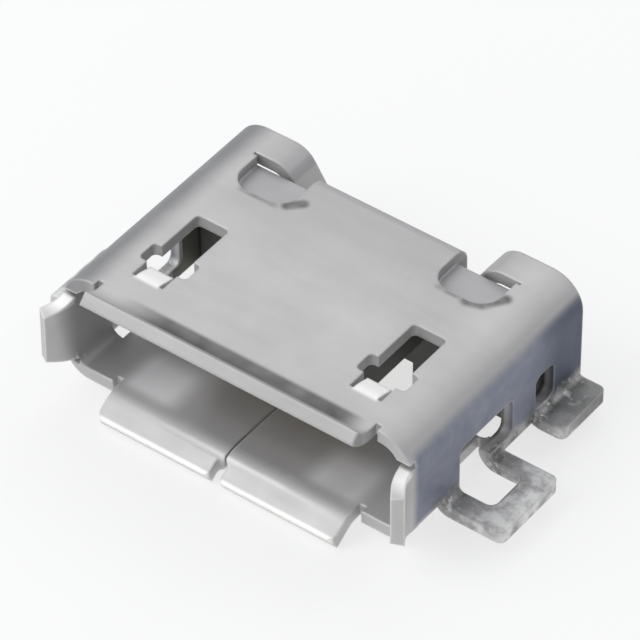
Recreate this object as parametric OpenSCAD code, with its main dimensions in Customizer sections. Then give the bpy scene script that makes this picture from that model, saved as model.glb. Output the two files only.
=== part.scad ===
// Small five-contact data and charging socket for the edge of a circuit board.
// One folded sheet-metal shell holds a moulded insulator with five contacts.
// Frame: X across the mouth, Y from the mouth to the rear, Z up from the board.
// The origin is on the board plane, at the middle of the mouth.

/* [Shell] */
// Width across the outside of the side walls
shell_w = 7.4; // [7:0.05:8.2]
// Height of the shell from the board plane to the top plate
shell_h = 2.35; // [2.2:0.05:2.7]
// Depth of the side walls from the mouth to their rear ends
wall_d = 5; // [4.96:0.02:5.4]
// Depth of the middle of the top plate, to the back of its rear flap
top_d = 4.62; // [4.5:0.02:4.8]
// Depth of the bottom plate from the mouth to its rear edge
bottom_d = 2.66; // [2.4:0.02:3]
// Thickness of the sheet
sheet_t = 0.25; // [0.2:0.01:0.3]
// Outer radius of the two long bends beside the top plate
top_bend_r = 0.65; // [0.45:0.05:0.8]
// Outer radius of the two long bends beside the bottom plate
bottom_bend_r = 0.5; // [0.4:0.02:0.6]
// Height of the lower edge of the walls behind the bottom plate
wall_foot_z = 0.16; // [0.1:0.01:0.3]
// Gap at the seam where the two halves of the bottom plate meet
seam_gap = 0.04; // [0.02:0.01:0.1]

/* [Latch windows] */
// Width of the long part of each latch window
window_w = 0.7; // [0.5:0.02:0.76]
// Length of each latch window from front to rear
window_l = 1.46; // [1.2:0.02:1.7]
// Distance from the mouth to the front edge of the latch windows
window_y = 1; // [0.9:0.02:1.1]
// Distance between the long parts of the two latch windows
window_gap = 3.92; // [3.8:0.02:4]
// Width of the cross slot at the front of each latch window
cross_w = 1.02; // [0.9:0.02:1.06]
// Length of the cross slot from front to rear
cross_l = 0.45; // [0.3:0.01:0.6]
// Radius in the corners of the latch windows
window_r = 0.1; // [0.04:0.01:0.14]
// Width of the ramp in front of each latch window
ramp_w = 0.5; // [0.3:0.02:0.6]
// Length of the ramp from its root to its free end
ramp_l = 0.4; // [0.3:0.01:0.5]
// Downward turn of the ramp
ramp_angle = 16; // [8:1:20]
// Radius of the hollow side of the ramp's bend
ramp_r = 0.3; // [0.1:0.01:0.4]
// Width of the slits beside the ramp
slit_w = 0.08; // [0.04:0.01:0.1]

/* [Mouth lips] */
// Width of the top lip
top_lip_w = 5.76; // [5:0.02:5.9]
// Upward turn of the top lip
top_lip_angle = 42; // [20:1:50]
// Radius of the hollow side of the top lip's curve
top_lip_r = 0.47; // [0.3:0.01:0.7]
// Flat end of the top lip past its curve
top_lip_tail = 0.09; // [0.02:0.01:0.2]
// Width across the pair of bottom lips
bottom_lip_w = 5.1; // [4.6:0.05:5.4]
// Downward turn of the bottom lips
bottom_lip_angle = 32; // [20:1:50]
// Radius of the hollow side of the bottom lips' curve
bottom_lip_r = 0.35; // [0.15:0.01:0.5]
// Flat end of the bottom lips past their curve
bottom_lip_tail = 0.4; // [0.3:0.02:0.5]
// Radius of the outer corners of the bottom lips
bottom_lip_corner_r = 0.18; // [0.05:0.01:0.2]
// Width of the notch between the two bottom lips
lip_gap = 0.24; // [0.1:0.01:0.3]
// Distance from the mouth forwards to the centre of that notch's round end
lip_notch_y = 0.4; // [0.2:0.01:0.5]
// Radius of the inner corners of the bottom lips, beside the notch
lip_inner_r = 0.1; // [0.04:0.01:0.16]
// Height of each side lip where it leaves the wall
side_lip_root_h = 1.42; // [1.1:0.02:1.5]
// Height of each side lip at its free end
side_lip_end_h = 1.02; // [0.8:0.02:1.1]
// Height of the middle of the side lips above the board plane
side_lip_z = 1.07; // [1:0.01:1.1]
// Outward turn of the side lips
side_lip_angle = 34; // [20:1:45]
// Radius of the hollow side of the side lips' curve
side_lip_r = 0.5; // [0.3:0.05:0.7]
// Flat end of the side lips past their curve
side_lip_tail = 0.18; // [0.1:0.01:0.3]
// Width of the relief slots between the lips and the corners
relief_w = 0.12; // [0.08:0.01:0.15]
// Depth of the relief slots from the mouth
relief_d = 0.14; // [0.1:0.01:0.25]

/* [Solder tabs] */
// Distance from the mouth to the front edge of the front tabs
front_tab_y = 0.96; // [0.8:0.02:1]
// Length of the front tabs along the wall
front_tab_l = 1.68; // [1.5:0.02:1.8]
// Reach of the front tabs from the wall
front_tab_reach = 1.2; // [1:0.02:1.4]
// Distance from the mouth to the front edge of the rear tabs
rear_tab_y = 3.62; // [3.4:0.01:3.7]
// Length of the rear tabs along the wall
rear_tab_l = 1.31; // [1.1:0.01:1.35]
// Reach of the rear tabs from the wall
rear_tab_reach = 0.6; // [0.5:0.02:0.8]
// Inner radius of the bend at the root of each tab
tab_bend_r = 0.12; // [0.05:0.01:0.2]
// Radius of the outer corners of the tabs
tab_corner_r = 0.14; // [0.05:0.01:0.25]
// Distance from the mouth to the opening above the front tab
front_slot_y = 1.4; // [1.2:0.02:1.5]
// Length of the opening above the front tab
front_slot_l = 1.56; // [1.3:0.02:1.7]
// Top of the opening above the front tab
front_slot_z = 1.2; // [1:0.02:1.3]
// Length of the part of that opening that runs on into the tab
front_hole_l = 0.9; // [0.7:0.02:1]
// Reach of that opening into the tab
front_hole_reach = 0.7; // [0.4:0.02:0.75]
// Length of the opening above the rear tab
rear_slot_l = 0.56; // [0.4:0.02:0.7]
// Top of the opening above the rear tab
rear_slot_z = 1.12; // [1:0.02:1.35]
// Corner radius of the openings in the walls
slot_r = 0.16; // [0.08:0.01:0.2]

/* [Rear of the shell] */
// Width of the two locking steps pressed into the top plate
step_w = 1.24; // [1:0.02:1.26]
// Distance from the mouth to the front of the steps
step_y = 3.46; // [3.4:0.02:3.8]
// Radius in the front corners of the steps
step_corner_r = 0.42; // [0.2:0.02:0.5]
// Depth of the steps below the top plate
step_drop = 0.22; // [0.12:0.01:0.22]
// Distance from the mouth to the rear edge of the steps
step_end_y = 4.3; // [4.26:0.02:4.36]
// Width of the flap that is folded down behind the insulator
flap_w = 3.06; // [2.98:0.02:3.3]
// Outer radius of the rear flap's bend
flap_bend_r = 0.35; // [0.3:0.01:0.45]
// Height of the rear flap's lower edge above the board plane
flap_z = 0.86; // [0.7:0.02:1.2]
// Distance from the middle to where the rear lugs begin to turn down
shoulder_x = 2.45; // [2.4:0.01:2.5]
// Downward turn of the rear lugs
lug_angle = 57; // [50:1:65]
// Radius of the hollow side of the lugs' curve
lug_r = 0.25; // [0.2:0.01:0.3]
// Flat end of the lugs past their curve
lug_tail = 0.55; // [0.4:0.01:0.58]
// Gap between the lugs and the locking steps in front of them
lug_gap = 0.06; // [0.04:0.01:0.12]

/* [Insulator] */
// Width of the tongue
tongue_w = 3.2; // [3.1:0.05:3.5]
// Thickness of the tongue
tongue_t = 0.6; // [0.5:0.02:0.7]
// Distance from the mouth to the tip of the tongue
tongue_y = 0.85; // [0.7:0.05:1.2]
// Gap between the tongue and the top plate
tongue_drop = 0.35; // [0.3:0.01:0.45]
// Bevel along the tip of the tongue
tongue_bevel = 0.12; // [0.05:0.01:0.15]
// Length of the base block from its front to its back
base_l = 0.88; // [0.8:0.02:0.92]
// Reach of the low foot of the base behind the rear flap
foot_reach = 0.1; // [0.04:0.02:0.2]
// Height of the low foot of the base
foot_h = 0.6; // [0.5:0.02:0.65]
// Distance between the two feet under the front of the base
base_gap_w = 2.46; // [2.2:0.02:3]
// Height of the gap between these feet
base_gap_h = 0.25; // [0.15:0.01:0.3]
// Depth of the gap between these feet
base_gap_d = 0.4; // [0.2:0.02:0.5]
// Clearance between the insulator and the shell
fit_gap = 0.03; // [0.01:0.01:0.05]

/* [Contacts] */
// Distance from one contact to the next
contact_pitch = 0.65; // [0.6:0.01:0.7]
// Width of the contacts
contact_w = 0.3; // [0.2:0.01:0.35]
// Thickness of the contacts
contact_t = 0.15; // [0.1:0.01:0.2]
// Outer radius of the contacts' two bends
contact_bend_r = 0.25; // [0.2:0.01:0.3]
// Distance from the tip of the tongue to the front end of the contacts
contact_inset = 0.2; // [0.1:0.02:0.4]
// Thickness of the base block behind the contacts' upright stretch
contact_cover = 0.14; // [0.08:0.01:0.16]
// Reach of the contacts' solder tails behind the low foot
tail_reach = 0.53; // [0.4:0.01:0.7]
// Clearance around each contact in the insulator
contact_gap = 0.01; // [0.01:0.01:0.02]

/* [Hidden] */
half_w = shell_w / 2;
inner_w = half_w - sheet_t;
inner_top = shell_h - sheet_t;
window_x = window_gap / 2 + window_w / 2;
tongue_top = inner_top - tongue_drop;
tongue_bottom = tongue_top - tongue_t;
block_back_y = top_d - sheet_t - fit_gap;
base_y = block_back_y - base_l;
foot_y = top_d + foot_reach;
contact_back_y = block_back_y - contact_cover;
tail_end_y = foot_y + tail_reach;
// Length by which lips, lugs and flap run back into the sheet that they grow from.
lip_root = 0.2;
// Overshoot of a cut past the face that it opens.
cut = 0.05;
// Width of the sheet around a locking step's hollow.
pad_skirt = 0.09;
slot_end_x = flap_w / 2 + step_w + pad_skirt;
rise_x = flap_w / 2 - pad_skirt - fit_gap;
curve_fn = 64;
contact_names = ["contact_1", "contact_2", "contact_3", "contact_4", "contact_5"];
contact_count = len(contact_names);

metal = [0.74, 0.74, 0.76];
resin = [0.13, 0.13, 0.14];
gold = [0.83, 0.68, 0.38];

// Both sides alike: the children and their mirror image across the middle.
module both_sides() {
  children();
  mirror([1, 0, 0]) children();
}

// A flat shape drawn across the shell, as X and Z, and carried from y0 to y1.
module along_y(y0, y1) {
  translate([0, y1, 0]) rotate([90, 0, 0]) linear_extrude(y1 - y0) children();
}

// A flat shape drawn from the side, as Y and Z, and carried from x0 to x1.
module along_x(x0, x1) {
  translate([x0, 0, 0])
    rotate([90, 0, 90]) linear_extrude(x1 - x0) children();
}

// Rectangle with its four corners rounded, from its lowest corner.
module round_rect(size, r) {
  translate([r, 0]) square([size[0] - 2 * r, size[1]]);
  translate([0, r]) square([size[0], size[1] - 2 * r]);
  for (x = [r, size[0] - r], y = [r, size[1] - r])
    translate([x, y]) circle(r, $fn = curve_fn);
}

// Outline of the folded shell, moved inwards by a distance.
module tube_outline(inset) {
  w = half_w - inset;
  z0 = inset;
  z1 = shell_h - inset;
  rt = top_bend_r - inset;
  rb = bottom_bend_r - inset;
  translate([-w, z0 + rb]) square([2 * w, z1 - z0 - rt - rb]);
  translate([-w + rb, z0]) square([2 * (w - rb), z1 - z0 - rt]);
  translate([-w + rt, z0 + rb]) square([2 * (w - rt), z1 - z0 - rb]);
  for (side = [-1, 1]) {
    translate([side * (w - rt), z1 - rt]) circle(rt, $fn = curve_fn);
    translate([side * (w - rb), z0 + rb]) circle(rb, $fn = curve_fn);
  }
}

// Section of a sheet that runs along +u and turns towards +v, with its hollow side up.
// The sheet fills v from -t to 0 and starts a root length behind its bend.
module turned_strip(r, angle, tail, t, root) {
  far = 2 * (r + t);
  if (root > 0) translate([-root, -t]) square([root, t]);
  translate([0, r]) {
    difference() {
      circle(r + t, $fn = curve_fn * 2);
      circle(r, $fn = curve_fn * 2);
      translate([-far, -far]) square([far, 2 * far]);
      rotate(angle) translate([0, -far]) square([far, 2 * far]);
    }
    rotate(angle) translate([0, -r - t]) square([tail, t]);
  }
}

// Straight part of the folded sheet: top plate, walls and bottom plate.
module folded_tube() {
  difference() {
    along_y(0, wall_d) difference() {
      tube_outline(0);
      tube_outline(sheet_t);
    }
    // Rear of the top plate between the shoulders.
    translate([-shoulder_x, step_end_y, inner_top - cut])
      cube([2 * shoulder_x, wall_d, sheet_t + 2 * cut]);
    // Slots between the steps and the shoulders.
    translate([-slot_end_x, step_end_y, inner_top - cut])
      cube([2 * slot_end_x, lug_gap, sheet_t + 2 * cut]);
    // Bottom plate and its bends behind its rear edge.
    translate([-half_w - cut, bottom_d, -cut])
      cube([shell_w + 2 * cut, wall_d, bottom_bend_r + cut]);
    // Seam of the bottom plate.
    translate([-seam_gap / 2, -cut, -cut]) cube([seam_gap, wall_d, sheet_t + 2 * cut]);
  }
  // Straight lower parts of the walls behind the bottom plate.
  both_sides() translate([inner_w, bottom_d, wall_foot_z])
    cube([sheet_t, wall_d - bottom_d, bottom_bend_r + cut - wall_foot_z]);
}

// Outline of a pressed locking step, seen from above, moved outwards by a distance.
module step_outline(grow) {
  l = step_end_y - step_y + step_corner_r + pad_skirt;
  difference() {
    translate([flap_w / 2 - grow, step_y - grow])
      round_rect([step_w + 2 * grow, l + 2 * grow], step_corner_r + grow);
    translate([0, step_end_y]) square(wall_d);
  }
}

// Sheet pushed down under one locking step.
module step_pad() {
  translate([0, 0, inner_top - step_drop])
    linear_extrude(sheet_t + step_drop - cut) step_outline(pad_skirt);
}

// Hollow above one locking step.
module step_hollow() {
  translate([0, 0, shell_h - step_drop])
    linear_extrude(step_drop + cut) step_outline(0);
}

// Middle of the top plate, folded down behind the insulator.
module rear_flap() {
  r = flap_bend_r - sheet_t;
  translate([-flap_w / 2, step_end_y - lip_root, inner_top])
    cube([flap_w, top_d - flap_bend_r - step_end_y + lip_root, sheet_t]);
  translate([0, top_d - flap_bend_r, shell_h - flap_bend_r])
    along_x(-flap_w / 2, flap_w / 2) intersection() {
      difference() {
        circle(flap_bend_r, $fn = curve_fn);
        circle(r, $fn = curve_fn);
      }
      square(flap_bend_r);
    }
  translate([0, top_d - sheet_t, flap_z])
    along_x(-flap_w / 2, flap_w / 2)
      square([sheet_t, shell_h - flap_bend_r - flap_z]);
}

// Lugs that turn down from the shoulders behind the insulator.
module rear_lugs() {
  both_sides() along_y(step_end_y + lug_gap, wall_d)
    translate([shoulder_x, inner_top]) mirror([1, 0]) mirror([0, 1])
      turned_strip(lug_r, lug_angle, lug_tail, sheet_t, 0);
}

// Latch windows through the top plate, each with a cross slot at its front.
module latch_windows() {
  both_sides() translate([window_x, window_y, inner_top - cut])
    linear_extrude(sheet_t + 2 * cut) {
      translate([-window_w / 2, 0]) round_rect([window_w, window_l], window_r);
      translate([-cross_w / 2, 0]) round_rect([cross_w, cross_l], window_r);
    }
}

// Room for the two ramps and their slits, in front of the windows.
module ramp_room() {
  w = ramp_w + 2 * slit_w;
  both_sides() translate([window_x - w / 2, window_y - ramp_l, inner_top - cut])
    cube([w, ramp_l + window_r, sheet_t + 2 * cut]);
}

// Ramps that dip from the top plate towards the windows.
module latch_ramps() {
  bend = (ramp_r + sheet_t) * sin(ramp_angle);
  tail = (ramp_l - bend) / cos(ramp_angle);
  both_sides() translate([0, window_y - ramp_l, inner_top])
    along_x(window_x - ramp_w / 2, window_x + ramp_w / 2) mirror([0, 1])
      turned_strip(ramp_r, ramp_angle, tail, sheet_t, lip_root);
}

// Lip that curves up from the front of the top plate.
module top_lip() {
  translate([0, 0, shell_h]) along_x(-top_lip_w / 2, top_lip_w / 2)
    mirror([1, 0])
      turned_strip(top_lip_r, top_lip_angle, top_lip_tail, sheet_t, lip_root);
}

// Outline of one bottom lip, seen from above: joined at the seam, then beside a notch.
module bottom_lip_outline(reach) {
  x0 = lip_gap / 2;
  x1 = bottom_lip_w / 2;
  r0 = lip_inner_r;
  r1 = bottom_lip_corner_r;
  difference() {
    union() {
      translate([seam_gap / 2, -lip_notch_y])
        square([x1 - seam_gap / 2, lip_notch_y + lip_root]);
      translate([x0, r0 - reach]) square([x1 - x0 - r1, reach - r0]);
      translate([x0 + r0, -reach]) square([x1 - x0 - r0 - r1, reach]);
      translate([x0 + r0, r1 - reach]) square([x1 - x0 - r0, reach - r1]);
      translate([x0 + r0, r0 - reach]) circle(r0, $fn = curve_fn);
      translate([x1 - r1, r1 - reach]) circle(r1, $fn = curve_fn);
    }
    translate([0, -lip_notch_y]) circle(x0, $fn = curve_fn);
  }
}

// Pair of lips that turn down from the front of the bottom plate.
module bottom_lips() {
  bend = (bottom_lip_r + sheet_t) * sin(bottom_lip_angle);
  reach = bend + bottom_lip_tail * cos(bottom_lip_angle);
  both_sides() intersection() {
    along_x(seam_gap / 2, bottom_lip_w / 2)
      mirror([1, 0]) mirror([0, 1])
        turned_strip(bottom_lip_r, bottom_lip_angle, bottom_lip_tail, sheet_t, lip_root);
    translate([0, 0, -shell_h]) linear_extrude(2 * shell_h) bottom_lip_outline(reach);
  }
}

// Lips that turn outwards from the front of the side walls.
module side_lips() {
  reach = (side_lip_r + sheet_t) * sin(side_lip_angle) + side_lip_tail * cos(side_lip_angle);
  low = side_lip_z - side_lip_root_h / 2;
  both_sides() intersection() {
    translate([half_w, 0, 0]) linear_extrude(shell_h)
      rotate(-90) turned_strip(side_lip_r, side_lip_angle, side_lip_tail, sheet_t, lip_root);
    along_x(0, shell_w) polygon([
      [lip_root, low],
      [0, low],
      [-reach, side_lip_z - side_lip_end_h / 2],
      [-reach, side_lip_z + side_lip_end_h / 2],
      [0, low + side_lip_root_h],
      [lip_root, low + side_lip_root_h]
    ]);
  }
}

// Short slots that part the lips from the corners of the mouth.
module relief_slots() {
  both_sides() {
    translate([top_lip_w / 2, -cut, inner_top - cut])
      cube([relief_w, relief_d + cut, sheet_t + 2 * cut]);
    translate([bottom_lip_w / 2, -cut, -cut])
      cube([relief_w, relief_d + cut, sheet_t + 2 * cut]);
    for (z = [side_lip_z - side_lip_root_h / 2 - relief_w, side_lip_z + side_lip_root_h / 2])
      translate([inner_w - cut, -cut, z])
        cube([sheet_t + 2 * cut, relief_d + cut, relief_w]);
  }
}

// One solder tab: the foot of the wall, bent outwards onto the board.
module solder_tab(y, l, reach) {
  bend = tab_bend_r + sheet_t;
  foot = max(bend, bottom_bend_r) - bend + cut;
  intersection() {
    translate([half_w, y, 0]) union() {
      translate([bend - sheet_t, l, bend]) rotate([90, 0, 0])
        linear_extrude(l) intersection() {
          difference() {
            circle(bend, $fn = curve_fn);
            circle(tab_bend_r, $fn = curve_fn);
          }
          translate([-bend, -bend]) square(bend);
        }
      translate([bend - sheet_t, 0, 0]) cube([reach - bend + sheet_t, l, sheet_t]);
      translate([-sheet_t, 0, bend]) cube([sheet_t, l, foot]);
    }
    translate([half_w, y, -cut]) linear_extrude(shell_h) union() {
      translate([-sheet_t, 0]) square([sheet_t + reach - tab_corner_r, l]);
      translate([-sheet_t, tab_corner_r]) square([sheet_t + reach, l - 2 * tab_corner_r]);
      for (v = [tab_corner_r, l - tab_corner_r])
        translate([reach - tab_corner_r, v]) circle(tab_corner_r, $fn = curve_fn);
    }
  }
}

// Foot of the tube cut away where a tab takes its place.
module tab_room(y, l) {
  top = max(tab_bend_r + sheet_t, bottom_bend_r);
  translate([half_w - bottom_bend_r, y, -cut])
    cube([bottom_bend_r + cut, l, top + cut]);
}

// Openings in the walls above the tabs, and the front one's run into its tab.
module wall_slots() {
  slot_z = sheet_t + tab_bend_r;
  both_sides() {
    translate([inner_w - cut, 0, 0])
      rotate([90, 0, 90]) linear_extrude(sheet_t + 2 * cut)
        translate([front_slot_y, slot_z])
          round_rect([front_slot_l, front_slot_z - slot_z], slot_r);
    translate([inner_w - cut, 0, 0])
      rotate([90, 0, 90]) linear_extrude(sheet_t + 2 * cut)
        translate([rear_tab_y, slot_z])
          round_rect([rear_slot_l, rear_slot_z - slot_z], slot_r);
    translate([inner_w - cut, front_slot_y, -cut])
      cube([sheet_t + cut, front_hole_l, slot_z + slot_r + cut]);
    translate([half_w - cut, front_slot_y, -cut])
      linear_extrude(slot_z + slot_r + cut) intersection() {
        translate([-slot_r, 0]) round_rect([front_hole_reach + slot_r + cut, front_hole_l], slot_r);
        square([front_hole_reach + cut, front_hole_l]);
      }
  }
}

// The shell: one sheet, stamped and folded.
module shell() {
  color(metal) difference() {
    union() {
      difference() {
        folded_tube();
        relief_slots();
        ramp_room();
        both_sides() {
          step_hollow();
          tab_room(front_tab_y, front_tab_l);
          tab_room(rear_tab_y, rear_tab_l);
        }
      }
      difference() {
        both_sides() step_pad();
        both_sides() step_hollow();
      }
      rear_flap();
      rear_lugs();
      latch_ramps();
      top_lip();
      bottom_lips();
      side_lips();
      both_sides() {
        solder_tab(front_tab_y, front_tab_l, front_tab_reach);
        solder_tab(rear_tab_y, rear_tab_l, rear_tab_reach);
      }
    }
    latch_windows();
    wall_slots();
  }
}

// Path of one contact from the side, as Y and Z, thickened by a clearance.
module contact_outline(grow) {
  t = contact_t + 2 * grow;
  r = contact_bend_r + grow;
  back = contact_back_y + grow;
  top = tongue_bottom + contact_t + grow;
  front = tongue_y + contact_inset - grow;
  translate([front, top - t]) square([back - r - front, t]);
  translate([back - t, contact_bend_r - grow]) square([t, top - r - contact_bend_r + grow]);
  translate([back - r, top - r]) intersection() {
    difference() {
      circle(r, $fn = curve_fn);
      circle(r - t, $fn = curve_fn);
    }
    square(r);
  }
  translate([contact_back_y - contact_t + contact_bend_r, contact_bend_r]) intersection() {
    difference() {
      circle(contact_bend_r + grow, $fn = curve_fn);
      circle(contact_bend_r - contact_t - grow, $fn = curve_fn);
    }
    translate([-r, -r]) square(r);
  }
  translate([contact_back_y - contact_t + contact_bend_r, -grow])
    square([tail_end_y - contact_back_y + contact_t - contact_bend_r, t]);
}

// Centre of one contact across the tongue, counted from 0.
function contact_x(i) = (i - (contact_count - 1) / 2) * contact_pitch;

// One contact: a strip let into the tongue, bent down and out to its solder tail.
module contact(i) {
  color(gold) along_x(contact_x(i) - contact_w / 2, contact_x(i) + contact_w / 2)
    contact_outline(0);
}

// Outline of the base block: the inside of the shell, cut off below the steps.
module block_outline(top) {
  w = inner_w - fit_gap;
  r = top_bend_r - sheet_t - fit_gap;
  z = shell_h - top_bend_r;
  difference() {
    union() {
      translate([-w, 0]) square([2 * w, z]);
      translate([-w + r, 0]) square([2 * (w - r), z + r]);
      for (side = [-1, 1])
        translate([side * (w - r), z]) circle(r, $fn = curve_fn);
    }
    translate([-half_w, top]) square([2 * half_w, shell_h]);
  }
}

// The insulator: tongue, base block and low foot, moulded in one.
module insulator() {
  top = inner_top - step_drop - fit_gap;
  color(resin) difference() {
    union() {
      // Tongue with a bevelled tip.
      along_x(-tongue_w / 2, tongue_w / 2) polygon([
        [base_y + cut, tongue_bottom],
        [tongue_y + tongue_bevel, tongue_bottom],
        [tongue_y, tongue_bottom + tongue_bevel],
        [tongue_y, tongue_top - tongue_bevel],
        [tongue_y + tongue_bevel, tongue_top],
        [base_y + cut, tongue_top]
      ]);
      // Base block inside the rear of the shell, with a gap between its front feet.
      difference() {
        along_y(base_y, block_back_y) block_outline(top);
        translate([-base_gap_w / 2, base_y - cut, -cut])
          cube([base_gap_w, base_gap_d + cut, base_gap_h + cut]);
      }
      // Raised middle of the block, under the top plate.
      translate([-rise_x, base_y, top - cut])
        cube([2 * rise_x, block_back_y - flap_bend_r - base_y, step_drop + cut]);
      // Low foot under the rear flap.
      translate([-flap_w / 2, block_back_y - cut, 0])
        cube([flap_w, foot_y - block_back_y + cut, foot_h]);
    }
    for (i = [0:contact_count - 1])
      along_x(contact_x(i) - contact_w / 2 - contact_gap, contact_x(i) + contact_w / 2 + contact_gap)
        contact_outline(contact_gap);
  }
}

shell();
insulator();
for (i = [0:contact_count - 1])
  contact(i);
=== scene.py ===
# %% [markdown]
# # A small charging socket in folded sheet metal
# The socket is a shell of thin plated steel around a dark moulded insulator with five
# flat contacts. Its exact solids come from the CAD model. This lesson gives each one the
# finish of the real material, softens the cut edges in the shading, and sets up the
# photograph.

# %% Load the fixed frame
import math

import bpy
from mathutils import Matrix, Vector


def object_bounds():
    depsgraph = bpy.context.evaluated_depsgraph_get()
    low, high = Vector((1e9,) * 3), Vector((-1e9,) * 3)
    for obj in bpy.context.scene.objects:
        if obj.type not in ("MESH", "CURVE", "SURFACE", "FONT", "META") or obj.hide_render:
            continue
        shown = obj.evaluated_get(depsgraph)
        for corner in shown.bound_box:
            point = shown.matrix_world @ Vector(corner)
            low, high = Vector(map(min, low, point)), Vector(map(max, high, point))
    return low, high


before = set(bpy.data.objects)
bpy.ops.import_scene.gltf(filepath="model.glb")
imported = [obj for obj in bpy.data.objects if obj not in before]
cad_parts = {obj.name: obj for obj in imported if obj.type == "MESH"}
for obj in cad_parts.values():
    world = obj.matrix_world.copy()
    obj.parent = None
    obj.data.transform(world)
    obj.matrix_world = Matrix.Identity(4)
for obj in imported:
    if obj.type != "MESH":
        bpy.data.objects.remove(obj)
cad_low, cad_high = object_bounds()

MM = 0.001
node_names = sorted(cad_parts)
print("solids from the CAD model:", node_names)
print("size in mm:", [round(v / MM, 2) for v in (cad_high - cad_low)])

# %% [markdown]
# ## Camera
# The socket was photographed from its right front and from above, through a long lens,
# so its parallel edges stay almost parallel. The direction, the distance and the lens
# were fitted to the outline of the socket in the picture. A direction is given as a turn
# round the socket, from its mouth towards its right, and a rise above the table. A
# camera looks along its own minus Z, so its matrix is built from where right, up and
# back point.

# %% Turn two angles into a direction
def facing(turn, rise):
    return Vector((
        math.sin(turn) * math.cos(rise),
        -math.cos(turn) * math.cos(rise),
        math.sin(rise),
    ))


print("no turn and no rise faces", tuple(facing(0.0, 0.0)))

# %% Place the camera
CAMERA_TURN = math.radians(36.957)
CAMERA_RISE = math.radians(43.147)
CAMERA_ROLL = math.radians(-0.312)
CAMERA_AIM = Vector((0.6329, 1.5795, 2.35)) * MM
CAMERA_DISTANCE_MM = 89
IMAGE_SIDE = 640
PIXELS_PER_MM = 59.103
SENSOR_WIDTH = 36
CLIP_START, CLIP_END = 0.005, 10

back = facing(CAMERA_TURN, CAMERA_RISE)
level = Vector((math.cos(CAMERA_TURN), math.sin(CAMERA_TURN), 0))
upright = back.cross(level)
right = level * math.cos(CAMERA_ROLL) + upright * math.sin(CAMERA_ROLL)
up = upright * math.cos(CAMERA_ROLL) - level * math.sin(CAMERA_ROLL)

cam_data = bpy.data.cameras.new("camera")
camera = bpy.data.objects.new("camera", cam_data)
bpy.context.scene.collection.objects.link(camera)
camera.matrix_world = (
    Matrix.Translation(CAMERA_AIM + back * CAMERA_DISTANCE_MM * MM)
    @ Matrix((right, up, back)).transposed().to_4x4()
)
cam_data.sensor_width = SENSOR_WIDTH
cam_data.lens = PIXELS_PER_MM * CAMERA_DISTANCE_MM / IMAGE_SIDE * SENSOR_WIDTH
cam_data.clip_start = CLIP_START
cam_data.clip_end = CLIP_END
bpy.context.scene.camera = camera
print("lens in mm:", round(cam_data.lens, 1))

# %% [markdown]
# ## Helpers for the finishes
# Each finish is a small network of shader nodes. These helpers add a node, set its
# values and join it up, so that a finish below reads like a recipe. A socket of a node
# takes either a plain value or what comes out of another node.

# %% Start a finish and add nodes to it
def new_finish(name):
    finish = bpy.data.materials.new(name)
    finish.use_nodes = True
    tree = finish.node_tree
    return finish, tree, tree.nodes["Principled BSDF"]


def add_node(tree, kind, sockets=None, **settings):
    node = tree.nodes.new(kind)
    for name, value in settings.items():
        setattr(node, name, value)
    for name, value in (sockets or {}).items():
        if isinstance(value, bpy.types.NodeSocket):
            tree.links.new(value, node.inputs[name])
        else:
            node.inputs[name].default_value = value
    return node


def assign(names, finish):
    for name in names:
        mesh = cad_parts[name].data
        mesh.materials.clear()
        mesh.materials.append(finish)
    print(finish.name, "on", ", ".join(names), "with", len(finish.node_tree.nodes), "nodes")


print("helpers for a finish:", new_finish.__name__, add_node.__name__, assign.__name__)

# %% [markdown]
# ### Patterns
# Every pattern is placed by Object coordinates, which are metres on this model, and
# stays on the part when the camera moves. A noise is given as its grains per
# millimetre. Stretching the coordinates along one axis turns grains into lines. A noise
# hovers round 0.5, so a remap picks the span of it that counts, and a ramp turns it
# into colours.

# %% Make patterns from noise
def object_coords(tree):
    return add_node(tree, "ShaderNodeTexCoord").outputs["Object"]


def noise(tree, vector, per_mm, detail=2.0, rough=0.5):
    sockets = {"Vector": vector, "Scale": per_mm / MM, "Detail": detail, "Roughness": rough}
    return add_node(tree, "ShaderNodeTexNoise", sockets).outputs["Fac"]


def stretched(tree, vector, scale):
    sockets = {"Vector": vector, "Scale": scale}
    return add_node(tree, "ShaderNodeMapping", sockets).outputs["Vector"]


def remap(tree, value, span_in, span_out, rise="LINEAR"):
    sockets = {
        "Value": value,
        "From Min": span_in[0],
        "From Max": span_in[1],
        "To Min": span_out[0],
        "To Max": span_out[1],
    }
    node = add_node(tree, "ShaderNodeMapRange", sockets, interpolation_type=rise)
    return node.outputs["Result"]


def ramp(tree, value, stops):
    node = add_node(tree, "ShaderNodeValToRGB", {"Fac": value})
    elements = node.color_ramp.elements
    while len(elements) < len(stops):
        elements.new(0.5)
    for element, (at, color) in zip(elements, stops):
        element.position = at
        element.color = (*color, 1)
    return node.outputs["Color"]


print("helpers for patterns:", noise.__name__, stretched.__name__, remap.__name__, ramp.__name__)

# %% [markdown]
# ### Relief
# Fine relief is a bump, which turns the shading without moving the surface. The cut
# edges are sharp in the solids, and on the real sheet they are slightly round. A Bevel
# node turns the shading round at an edge, so each edge catches a line of light.

# %% Shade relief and round edges
EDGE_SAMPLES = 6


def bump(tree, height, strength, depth_mm, normal=None):
    sockets = {"Height": height, "Strength": strength, "Distance": depth_mm * MM}
    if normal is not None:
        sockets["Normal"] = normal
    return add_node(tree, "ShaderNodeBump", sockets).outputs["Normal"]


def soft_normal(tree, radius_mm):
    sockets = {"Radius": radius_mm * MM}
    return add_node(tree, "ShaderNodeBevel", sockets, samples=EDGE_SAMPLES).outputs["Normal"]


print("helpers for relief:", bump.__name__, soft_normal.__name__)

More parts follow.
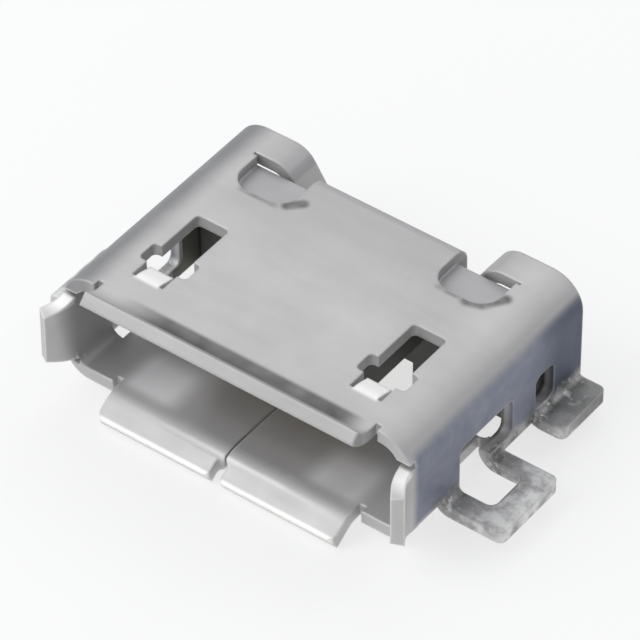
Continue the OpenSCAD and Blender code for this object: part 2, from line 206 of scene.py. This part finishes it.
# %% [markdown]
# ## Where the shell is worn, and where light and shade are painted on it
# A finish is never the same all over. Each patch here, whether wear or painted light
# and shade, is a mask: a number from 0 to 1 made from the place on the part. A soft
# step rises from 0 to 1 between two places along one axis. A fence is several steps
# multiplied: each of its walls names the place it is measured along, where the mask is
# still 0 and where it is 1, in millimetres. "side" is the distance from the middle
# plane, so it marks both sides of the socket at once.

# %% Do sums with masks
def calc(tree, operation, a, b=0.0):
    return add_node(tree, "ShaderNodeMath", {0: a, 1: b}, operation=operation).outputs["Value"]


def combine(tree, operation, masks):
    whole = masks[0]
    for mask in masks[1:]:
        whole = calc(tree, operation, whole, mask)
    return whole


def patch(tree, *masks):
    return combine(tree, "MULTIPLY", masks)


def any_of(tree, *masks):
    return combine(tree, "MAXIMUM", masks)


print("helpers for masks:", patch.__name__, any_of.__name__)

# %% Fence a patch in
def places(tree, coords):
    axes = add_node(tree, "ShaderNodeSeparateXYZ", {"Vector": coords}).outputs
    side = calc(tree, "ABSOLUTE", axes["X"])
    return {"x": axes["X"], "y": axes["Y"], "z": axes["Z"], "side": side}


def step(tree, value, off_mm, on_mm):
    low, high = sorted((off_mm * MM, on_mm * MM))
    ends = (0.0, 1.0) if off_mm < on_mm else (1.0, 0.0)
    return remap(tree, value, (low, high), ends, rise="SMOOTHSTEP")


def fence(tree, at, *walls):
    return patch(tree, *(step(tree, at[place], off, on) for place, off, on in walls))


print("helpers for places:", places.__name__, step.__name__, fence.__name__)

# %% [markdown]
# A patch of painted shade at a corner isn't a box but a short stroke. Its mask is 1 near a
# line from one point of the plate to another and fades with the distance from that line.

# %% Wipe a smudge along a line
STROKE_CORE = 0.25


def stroke(tree, at, start, end, radius):
    run = [b - a for a, b in zip(start, end)]
    away = [
        calc(tree, "SUBTRACT", calc(tree, "DIVIDE", at[axis], MM), begin)
        for axis, begin in zip("xy", start)
    ]
    along = calc(tree, "ADD", *(calc(tree, "MULTIPLY", a, r) for a, r in zip(away, run)))
    share = remap(tree, along, (0.0, run[0] ** 2 + run[1] ** 2), (0.0, 1.0))
    away = [
        calc(tree, "SUBTRACT", a, calc(tree, "MULTIPLY", share, r))
        for a, r in zip(away, run)
    ]
    squares = calc(tree, "ADD", *(calc(tree, "MULTIPLY", a, a) for a in away))
    reach = calc(tree, "MULTIPLY", calc(tree, "SQRT", squares), MM)
    return step(tree, reach, radius, radius * STROKE_CORE)


print("helper for smudges:", stroke.__name__)

# %% [markdown]
# A coat lays one colour over another where its mask is 1. A Mix node has sockets for
# several kinds of value, and those for colours are reached by their numbers.

# %% Lay a coat of colour
MIX_BELOW, MIX_ABOVE, MIX_RESULT = 6, 7, 2


def coat(tree, base, mask, color):
    sockets = {"Factor": mask, MIX_BELOW: base, MIX_ABOVE: (*color, 1)}
    return add_node(tree, "ShaderNodeMix", sockets, data_type="RGBA").outputs[MIX_RESULT]


print("helper for colours:", coat.__name__)

# %% [markdown]
# ## Plated steel of the shell
# The shell is cold-rolled strip with a dull tin or nickel plate. Close up it isn't an
# even grey: the plate clouds over in patches. The clouds make the base colour, and
# three finer noises, made here once, break up the coats that follow, so that no patch
# of wear or of painted light and shade has an even tone.

# %% Start the plated steel
PLATE_STOPS = [
    (0.30, (0.58, 0.57, 0.57)),
    (0.52, (0.60, 0.59, 0.59)),
    (0.72, (0.62, 0.61, 0.605)),
]

plated, tree, shader = new_finish("plated_steel")
coords = object_coords(tree)
at = places(tree, coords)
clouds = noise(tree, coords, per_mm=0.7, detail=4.0, rough=0.6)
drift = noise(tree, coords, per_mm=1.3)
mottle = noise(tree, coords, per_mm=3.0, detail=3.0, rough=0.6)
flecks = noise(tree, coords, per_mm=6.0, detail=3.0, rough=0.6)
plate_color = ramp(tree, clouds, PLATE_STOPS)
print("plate started with", len(tree.nodes), "nodes")

# %% [markdown]
# The outer walls get painted shade: a dark bluish painted reflection, darker still towards
# the rear. Inside, the rear half of the walls gets painted shade, nearly black.

# %% Paint shade on the walls
WALL_SHADE_BLUE = (0.25, 0.27, 0.34)
WALL_REAR_SHADE = (0.13, 0.145, 0.19)
INNER_WALL_SHADE = (0.16, 0.165, 0.14)

# Painted shade: a dark bluish painted reflection on the outer walls, uneven in tone.
wall_shade = fence(tree, at, ("side", 3.56, 3.69), ("y", 0.02, 0.25), ("z", 0.3, 0.5))
uneven = remap(tree, mottle, (0.3, 0.7), (0.8, 1.0))
plate_color = coat(tree, plate_color, calc(tree, "MULTIPLY", wall_shade, uneven), WALL_SHADE_BLUE)
# Painted shade: the outer walls darker towards the rear.
wall_rear_shade_mask = patch(tree, wall_shade, fence(tree, at, ("y", 3.3, 4.5)))
plate_color = coat(tree, plate_color, wall_rear_shade_mask, WALL_REAR_SHADE)
# Painted shade: the inside of the walls, rear half, nearly black.
inner_shade = fence(
    tree, at, ("side", 3.53, 3.47), ("side", 3.2, 3.3), ("y", 2.4, 2.8), ("z", 2.05, 1.8)
)
plate_color = coat(tree, plate_color, inner_shade, INNER_WALL_SHADE)
print("walls tinted,", len(tree.nodes), "nodes so far")

# %% [markdown]
# The left bend and the rear bend get painted shade, a dark painted reflection, and painted
# shade also fills the fold behind the top lip.

# %% Paint shade on the bends and in the fold
LEFT_BEND_SHADE = (0.33, 0.33, 0.335)
REAR_BEND_SHADE = (0.33, 0.33, 0.34)
FOLD_SHADE = (0.15, 0.15, 0.145)

# Painted shade: a dark painted reflection on the left bend only.
left_bend = patch(
    tree,
    fence(tree, at, ("x", -2.8, -3.3), ("z", 1.6, 1.9)),
    remap(tree, drift, (0.3, 0.7), (0.85, 1.0)),
)
plate_color = coat(tree, plate_color, left_bend, LEFT_BEND_SHADE)
# Painted shade: a dark painted reflection on the rear bend.
rear_bend = fence(tree, at, ("y", 3.95, 4.35), ("side", 1.6, 1.5))
plate_color = coat(tree, plate_color, rear_bend, REAR_BEND_SHADE)
# Painted shade in the fold behind the top lip.
fold_shade_mask = patch(
    tree,
    fence(
        tree, at, ("y", -0.30, -0.21), ("y", 0.15, 0.04), ("z", 2.2, 2.3),
        ("x", 2.8, 2.3), ("x", -2.6, -1.3),
    ),
    remap(tree, drift, (0.3, 0.65), (0.7, 1.0)),
)
plate_color = coat(tree, plate_color, fold_shade_mask, FOLD_SHADE)
print("bends dulled,", len(tree.nodes), "nodes so far")

# %% [markdown]
# A painted highlight lies on the ramps in front of the two windows, where a plug's latches
# slide, and a painted pool of light on the floor of the mouth behind the bottom lips.

# %% Paint light on the ramps and the mouth floor
RAMP_HIGHLIGHT = (0.97, 0.97, 0.95)
MOUTH_FLOOR_LIGHT = (0.97, 0.96, 0.97)

# Painted highlight on the ramps in front of the windows.
ramp_highlight_mask = fence(
    tree, at, ("side", 2.03, 2.08), ("side", 2.6, 2.55),
    ("y", 0.5, 0.62), ("y", 1.06, 1.02), ("z", 2.0, 2.1),
)
plate_color = coat(tree, plate_color, ramp_highlight_mask, RAMP_HIGHLIGHT)
# Painted light: a pool of light on the floor of the mouth.
mouth_light_mask = fence(
    tree, at, ("side", 1.2, 1.7), ("side", 2.7, 2.3), ("y", 1.3, 0.7), ("y", -0.1, 0.2),
    ("z", 0.35, 0.3), ("z", 0.1, 0.2),
)
plate_color = coat(tree, plate_color, mouth_light_mask, MOUTH_FLOOR_LIGHT)
print("ramps and mouth rubbed,", len(tree.nodes), "nodes so far")

# %% [markdown]
# The solder tabs are tinned. The tin lies in blotches, grey between, and the bright blotches
# are partly thick tin and partly painted glints; the rear tabs are greyer. At the roots, where
# the tabs leave the walls, painted shade darkens the corner, with a few painted glints.

# %% Tin the solder tabs
TIN_GREY = (0.30, 0.30, 0.295)
TIN_AND_GLINT = (0.92, 0.92, 0.90)
REAR_TAB_GREY = (0.27, 0.27, 0.265)

tinned = fence(tree, at, ("side", 3.75, 3.85), ("z", 0.4, 0.3), ("y", 0.5, 0.6))
dull_spots = calc(tree, "MULTIPLY", tinned, remap(tree, mottle, (0.50, 0.36), (0.0, 0.6)))
plate_color = coat(tree, plate_color, dull_spots, TIN_GREY)
# Bright blotches on the tabs: partly tin, partly painted glints.
tin_and_glint_spots = calc(tree, "MULTIPLY", tinned, remap(tree, mottle, (0.48, 0.64), (0.0, 0.75)))
plate_color = coat(tree, plate_color, tin_and_glint_spots, TIN_AND_GLINT)
rear_tab = patch(
    tree, tinned, fence(tree, at, ("y", 3.9, 4.15)),
    remap(tree, mottle, (0.35, 0.6), (0.6, 1.0)),
)
plate_color = coat(tree, plate_color, rear_tab, REAR_TAB_GREY)
print("tabs tinned,", len(tree.nodes), "nodes so far")

# %% Paint shade and glints at the roots of the tabs
ROOT_SHADE = (0.17, 0.17, 0.165)
ROOT_GLINT = (0.95, 0.95, 0.93)

root = fence(
    tree, at, ("side", 4.3, 3.8), ("side", 3.5, 3.65), ("z", 0.6, 0.25), ("y", 0.5, 0.7)
)
# Painted shade in the corner where each tab leaves its wall, mottled.
root_shade_mask = patch(tree, root, remap(tree, mottle, (0.4, 0.6), (0.2, 0.95)))
plate_color = coat(tree, plate_color, root_shade_mask, ROOT_SHADE)
# Painted glints: a few bright flecks at the roots of the tabs.
root_glints = patch(tree, root, remap(tree, flecks, (0.56, 0.66), (0.0, 0.7)))
plate_color = coat(tree, plate_color, root_glints, ROOT_GLINT)
print("roots of the tabs dirtied,", len(tree.nodes), "nodes so far")

# %% [markdown]
# The end of the top lip and the rear of the top plate get painted shade, a little darker than
# the middle, and the upper ends of the side lips get a painted highlight.

# %% Paint shade and highlights on the top plate and the lips
LIP_END_SHADE = (0.49, 0.49, 0.48)
REAR_SHADE_GREY = (0.52, 0.515, 0.515)
LIP_TOP_HIGHLIGHT = (0.97, 0.97, 0.95)

# Painted shade on the end of the top lip.
lip_end_shade_mask = fence(tree, at, ("y", -0.24, -0.32), ("z", 2.0, 2.1))
plate_color = coat(tree, plate_color, lip_end_shade_mask, LIP_END_SHADE)
# Painted shade: the rear of the top plate a little darker.
rear_shade_mask = fence(tree, at, ("y", 2.0, 4.2), ("z", 2.2, 2.3), ("side", 2.9, 2.3))
plate_color = coat(tree, plate_color, rear_shade_mask, REAR_SHADE_GREY)
# Painted highlight on the upper ends of the side lips.
lip_top_highlight_mask = fence(
    tree, at, ("side", 3.33, 3.42), ("y", 0.06, -0.04), ("z", 1.6, 1.72), ("z", 1.95, 1.88)
)
plate_color = coat(tree, plate_color, lip_top_highlight_mask, LIP_TOP_HIGHLIGHT)
print("top plate and lips toned,", len(tree.nodes), "nodes so far")

# %% [markdown]
# The two pressed steps at the rear get painted shade, and darker painted shade lies along
# their front edges and at their corners.

# %% Paint shade on the pressed steps
STEP_SHADE_GREY = (0.49, 0.485, 0.49)
STEP_EDGE_SHADE = (0.12, 0.12, 0.115)
# Strokes of painted shade at the corners of the steps: start, end and radius in mm.
CORNER_SHADE_STROKES = (
    ((-1.56, 3.56), (-1.36, 3.76), 0.16),
    ((2.36, 3.44), (2.62, 3.52), 0.18),
    ((2.62, 3.52), (2.86, 3.86), 0.18),
)

# Painted shade in the hollows of the pressed steps.
hollow_shade = fence(
    tree, at, ("z", 2.05, 2.1), ("z", 2.28, 2.2), ("y", 3.3, 3.4),
    ("side", 1.4, 1.5), ("side", 2.95, 2.85),
)
plate_color = coat(tree, plate_color, hollow_shade, STEP_SHADE_GREY)
# Painted shade along the front edges of the steps and at their corners.
front_edge_shade = patch(
    tree,
    fence(
        tree, at, ("z", 2.2, 2.28), ("side", 1.6, 1.8), ("side", 2.6, 2.4),
        ("y", 3.34, 3.42), ("y", 3.52, 3.46),
    ),
    remap(tree, mottle, (0.35, 0.6), (0.2, 0.6)),
)
corner_shade = patch(
    tree,
    any_of(tree, *(stroke(tree, at, *shade_stroke) for shade_stroke in CORNER_SHADE_STROKES)),
    fence(tree, at, ("z", 2.05, 2.15)),
    remap(tree, mottle, (0.3, 0.6), (0.55, 0.85)),
)
plate_color = coat(tree, plate_color, any_of(tree, front_edge_shade, corner_shade), STEP_EDGE_SHADE)
print("steps marked,", len(tree.nodes), "nodes so far")

# %% [markdown]
# The rims of the bottom lips and the free edges of all the lips get a painted highlight, the
# other edges a weaker one. Edges are found by comparing the soft normal with the true one:
# the two differ only beside an edge, and the more they differ, the nearer the edge is.

# %% Paint highlights on the rims and the edges
EDGE_RADIUS_MM = 0.07
RIM_HIGHLIGHT = (0.97, 0.97, 0.94)
EDGE_AGREEMENT = (0.985, 0.85)
PLAIN_EDGE_SHARE = 0.35

# Painted highlight on the rims of the bottom lips.
lip_rim_highlight = fence(tree, at, ("y", -0.56, -0.62), ("z", 0.4, 0.3))
plate_color = coat(tree, plate_color, lip_rim_highlight, RIM_HIGHLIGHT)
rounded = soft_normal(tree, EDGE_RADIUS_MM)
true_normal = add_node(tree, "ShaderNodeNewGeometry").outputs["True Normal"]
agreement = add_node(
    tree, "ShaderNodeVectorMath", {0: rounded, 1: true_normal}, operation="DOT_PRODUCT"
).outputs["Value"]
# Painted highlight along the edges, full on the lips.
edges = remap(tree, agreement, EDGE_AGREEMENT, (0.0, 1.0))
lips = fence(tree, at, ("y", 0.05, -0.08), ("z", 2.1, 1.95))
edge_share = remap(tree, lips, (0.0, 1.0), (PLAIN_EDGE_SHARE, 1.0))
plate_color = coat(tree, plate_color, calc(tree, "MULTIPLY", edges, edge_share), RIM_HIGHLIGHT)
tree.links.new(plate_color, shader.inputs["Base Color"])
print("edges brightened,", len(tree.nodes), "nodes so far")

# %% [markdown]
# Last comes the gloss. The clouds are slightly smoother where they are pale, and long
# rubs across the plate roughen it. The bump has the fine grain of the plate and the
# faint lines that rolling leaves along the strip.

# %% Give the plate its gloss and grain
PLATE_METALLIC = 0.75
GRAIN_DEPTH_MM = 0.006

grain = noise(tree, coords, per_mm=14.0, detail=3.0, rough=0.6)
lines = noise(tree, stretched(tree, coords, (1.0, 0.06, 1.0)), per_mm=9.0)
rubs = noise(tree, stretched(tree, coords, (0.12, 1.0, 0.4)), per_mm=3.0, detail=5.0, rough=0.7)
cloud_rough = remap(tree, clouds, (0.3, 0.7), (0.62, 0.56))
rub_rough = remap(tree, rubs, (0.45, 0.75), (0.0, 0.08))
tree.links.new(calc(tree, "ADD", cloud_rough, rub_rough), shader.inputs["Roughness"])
shader.inputs["Metallic"].default_value = PLATE_METALLIC
grained = bump(tree, grain, 0.25, GRAIN_DEPTH_MM, rounded)
rolled = bump(tree, lines, 0.2, GRAIN_DEPTH_MM, grained)
tree.links.new(rolled, shader.inputs["Normal"])
assign(["shell"], plated)

# %% [markdown]
# ## Moulded insulator
# The insulator is a filled resin that runs thin and sets hard. It is dark grey and
# matt, with flow clouds and a fine sandy grain from the mould.

# %% Make the moulded resin
RESIN_STOPS = [(0.35, (0.11, 0.115, 0.103)), (0.7, (0.145, 0.15, 0.135))]
RESIN_EDGE_RADIUS_MM = 0.03
SAND_DEPTH_MM = 0.006

resin, tree, shader = new_finish("moulded_resin")
coords = object_coords(tree)
flow = noise(tree, stretched(tree, coords, (1.0, 0.4, 1.0)), per_mm=1.2, detail=3.0, rough=0.55)
sand = noise(tree, coords, per_mm=22.0, rough=0.6)
tree.links.new(ramp(tree, flow, RESIN_STOPS), shader.inputs["Base Color"])
tree.links.new(remap(tree, flow, (0.3, 0.7), (0.48, 0.62)), shader.inputs["Roughness"])
sanded = bump(tree, sand, 0.35, SAND_DEPTH_MM, soft_normal(tree, RESIN_EDGE_RADIUS_MM))
tree.links.new(sanded, shader.inputs["Normal"])
assign(["insulator"], resin)

# %% [markdown]
# ## Gold-plated contacts
# The contacts are thin strips with a flash of gold over nickel. The gold is thin, so
# its colour drifts a little and the drawing lines of the strip show through.

# %% Make the contact plate
GOLD_STOPS = [(0.3, (0.68, 0.50, 0.24)), (0.7, (0.84, 0.66, 0.36))]
DRAW_DEPTH_MM = 0.004

gold, tree, shader = new_finish("contact_gold")
coords = object_coords(tree)
tarnish = noise(tree, coords, per_mm=2.5, detail=3.0)
draw_lines = noise(tree, stretched(tree, coords, (1.0, 0.08, 1.0)), per_mm=16.0)
tree.links.new(ramp(tree, tarnish, GOLD_STOPS), shader.inputs["Base Color"])
tree.links.new(remap(tree, tarnish, (0.3, 0.7), (0.32, 0.22)), shader.inputs["Roughness"])
shader.inputs["Metallic"].default_value = 1.0
tree.links.new(bump(tree, draw_lines, 0.2, DRAW_DEPTH_MM), shader.inputs["Normal"])
assign([name for name in node_names if name.startswith("contact_")], gold)

# %% [markdown]
# ## Closed skins
# The solids arrive as loose triangles. A Weld modifier joins the triangles of the shell
# and of the insulator into closed skins and drops the few slivers that have no area.

# %% Weld the loose triangles
WELD_REACH_MM = 0.0002

for name in ("shell", "insulator"):
    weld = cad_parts[name].modifiers.new("weld", "WELD")
    weld.merge_threshold = WELD_REACH_MM * MM
    print("triangles of", name, "welded")

# %% [markdown]
# ## Floor
# The socket lies on a plain pale table. Where the eye sees the table, directly or in a
# polished surface, part of its paint is swapped for a plain white glow, so the table
# looks nearly white and still shows the shadow. The light that the table throws on the
# socket isn't changed by this.

# %% Lay the floor
FLOOR_SIDE = 1.0
FLOOR_DROP_MM = 0.002

floor_z = cad_low.z - FLOOR_DROP_MM * MM
bpy.ops.object.select_all(action="DESELECT")
bpy.ops.mesh.primitive_plane_add(size=FLOOR_SIDE, location=(0, 0, floor_z))
floor = bpy.context.active_object
floor.name = "floor"
bpy.ops.object.transform_apply(location=True, rotation=True, scale=True)
print("floor at", round(floor_z / MM, 3), "mm")

# %% Paint the floor
FLOOR_STOPS = [(0.3, (0.92, 0.925, 0.935)), (0.7, (0.94, 0.945, 0.955))]
FLOOR_GLOW_SHARE = 0.7
RAYS_OF_THE_EYE = ("Is Camera Ray", "Is Glossy Ray", "Is Transmission Ray")

floor_paint, tree, shader = new_finish("floor_paint")
paper = noise(tree, object_coords(tree), per_mm=0.05)
tree.links.new(ramp(tree, paper, FLOOR_STOPS), shader.inputs["Base Color"])
shader.inputs["Roughness"].default_value = 0.9
shader.inputs["Specular IOR Level"].default_value = 0.1
rays = add_node(tree, "ShaderNodeLightPath").outputs
seen = any_of(tree, *(rays[kind] for kind in RAYS_OF_THE_EYE))
glow = add_node(tree, "ShaderNodeEmission", {"Strength": 1.0}).outputs["Emission"]
share = remap(tree, seen, (0.0, 1.0), (0.0, FLOOR_GLOW_SHARE))
blend = add_node(tree, "ShaderNodeMixShader", {"Fac": share, 1: shader.outputs["BSDF"], 2: glow})
tree.links.new(blend.outputs["Shader"], tree.nodes["Material Output"].inputs["Surface"])
floor.data.materials.append(floor_paint)
print("floor painted, and", FLOOR_GLOW_SHARE, "of it glows where it is seen")

# %% [markdown]
# ## Light
# A broad lamp behind the socket lights the top plate, a second at the front left opens
# up the mouth, and a smaller one at the right rear gives the right bend its highlight.
# Each lamp is a square panel. Its power grows with its area, so that the brightness of
# the panel itself is what is set.

# %% Hang the lamps
LAMP_DISTANCE_MM = 120


def soft_lamp(name, turn, rise, side_mm, radiance):
    data = bpy.data.lights.new(name, "AREA")
    data.shape = "SQUARE"
    data.size = side_mm * MM
    data.energy = radiance * math.pi * data.size ** 2
    lamp = bpy.data.objects.new(name, data)
    bpy.context.scene.collection.objects.link(lamp)
    direction = facing(math.radians(turn), math.radians(rise))
    lamp.rotation_mode = "QUATERNION"
    lamp.rotation_quaternion = direction.to_track_quat("Z", "Y")
    lamp.location = CAMERA_AIM + direction * LAMP_DISTANCE_MM * MM
    print(name, "at", turn, "degrees round and", rise, "up")


soft_lamp("back_lamp", turn=215, rise=45, side_mm=90, radiance=0.95)
soft_lamp("front_lamp", turn=-45, rise=43, side_mm=90, radiance=2.8)
soft_lamp("side_lamp", turn=150, rise=42, side_mm=35, radiance=3.0)

# %% [markdown]
# The pale world fills the shadows. It is dimmer towards the horizon, so the upright
# walls of the socket are darker than the plates that lie flat.

# %% Fill with a pale world
SKY_COLOR = (0.95, 0.97, 1.0, 1)
HORIZON_HEIGHTS = (0.1, 0.6)
SKY_STRENGTHS = (0.30, 0.55)

world = bpy.data.worlds.new("studio")
bpy.context.scene.world = world
world.use_nodes = True
tree = world.node_tree
sky = tree.nodes["Background"]
sky.inputs["Color"].default_value = SKY_COLOR
sight = add_node(tree, "ShaderNodeTexCoord").outputs["Generated"]
height = add_node(tree, "ShaderNodeSeparateXYZ", {"Vector": sight}).outputs["Z"]
tree.links.new(remap(tree, height, HORIZON_HEIGHTS, SKY_STRENGTHS), sky.inputs["Strength"])
bpy.context.scene.view_settings.view_transform = "Standard"
print("world strength", SKY_STRENGTHS[0], "at the horizon,", SKY_STRENGTHS[1], "above")

# %% Print the box of the solids
print("box of the solids ", [round(v / MM, 3) for v in (*cad_low, *cad_high)])
